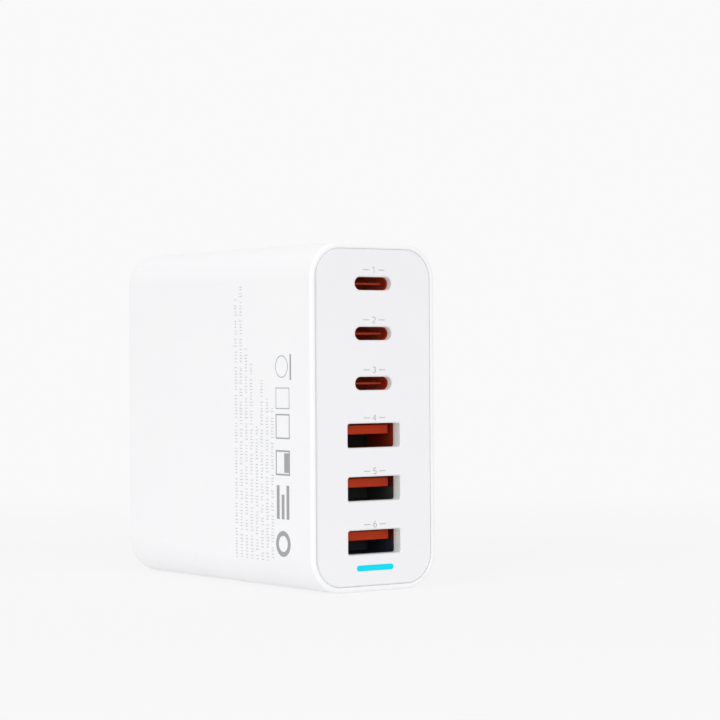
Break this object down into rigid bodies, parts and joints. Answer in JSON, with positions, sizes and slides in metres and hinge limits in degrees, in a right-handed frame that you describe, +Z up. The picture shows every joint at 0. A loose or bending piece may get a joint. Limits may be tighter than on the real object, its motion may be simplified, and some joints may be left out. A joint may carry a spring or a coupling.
{
  "type": "multi port usb desktop charger",
  "caption": "Upright rounded-box desktop charger with a column of USB sockets in its front panel, an LED bar, and a figure-8 mains inlet in the back.",
  "frame": {"origin": "middle of the base, on the surface that the charger stands on", "axes": "+Z up, -Y out of the front panel, +Y out of the mains inlet, +X to the right seen from the front"},
  "size_m": [0.0298, 0.07, 0.068],
  "materials": {
    "housing_plastic": "satin",
    "panel_plastic": "satin",
    "clear_guide": "gloss",
    "led_chip": "gloss",
    "receptacle_steel": "satin",
    "tongue_plastic": "satin",
    "contact_metal": "satin",
    "capacitor_can": "satin",
    "inlet_plastic": "matte",
    "pin_metal": "polished",
    "live_sleeve": "satin",
    "neutral_sleeve": "satin",
    "board_laminate": "satin",
    "ferrite": "matte",
    "bobbin_plastic": "matte",
    "winding_tape": "satin",
    "copper_wire": "satin",
    "fuse_plastic": "matte",
    "film_capacitor": "satin",
    "disc_coating": "gloss",
    "chip_package": "matte",
    "inductor_powder": "matte",
    "pad_silicone": "matte",
    "spreader_metal": "satin",
    "insulation_film": "satin"
  },
  "bodies": {
    "root": {"bridge_rectifier": "chip_package", "buck_inductors": "inductor_powder", "bulk_capacitor_1": "capacitor_can", "bulk_capacitor_2": "capacitor_can", "bulk_capacitor_3": "capacitor_can", "choke_core": "ferrite", "choke_winding": "copper_wire", "controller_chips": "chip_package", "front_panel": "panel_plastic", "heat_spreader": "spreader_metal", "housing": "housing_plastic", "inlet_body": "inlet_plastic", "insulation_sheet": "insulation_film", "light_guide": "clear_guide", "live_lead": "live_sleeve", "live_pin": "pin_metal", "main_board": "board_laminate", "mains_fuse": "fuse_plastic", "neutral_lead": "neutral_sleeve", "neutral_pin": "pin_metal", "output_capacitors": "capacitor_can", "port_board": "board_laminate", "port_controllers": "chip_package", "power_switch": "chip_package", "status_led": "led_chip", "thermal_pad": "pad_silicone", "transformer_bobbin": "bobbin_plastic", "transformer_core": "ferrite", "transformer_winding": "winding_tape", "usb_a_contacts_1": "contact_metal", "usb_a_contacts_2": "contact_metal", "usb_a_contacts_3": "contact_metal", "usb_a_shell_1": "receptacle_steel", "usb_a_shell_2": "receptacle_steel", "usb_a_shell_3": "receptacle_steel", "usb_a_tongue_1": "tongue_plastic", "usb_a_tongue_2": "tongue_plastic", "usb_a_tongue_3": "tongue_plastic", "usb_c_contacts_1": "contact_metal", "usb_c_contacts_2": "contact_metal", "usb_c_contacts_3": "contact_metal", "usb_c_shell_1": "receptacle_steel", "usb_c_shell_2": "receptacle_steel", "usb_c_shell_3": "receptacle_steel", "usb_c_tongue_1": "tongue_plastic", "usb_c_tongue_2": "tongue_plastic", "usb_c_tongue_3": "tongue_plastic", "x_capacitor": "film_capacitor", "y_capacitor": "disc_coating"}
  },
  "joints": []
}
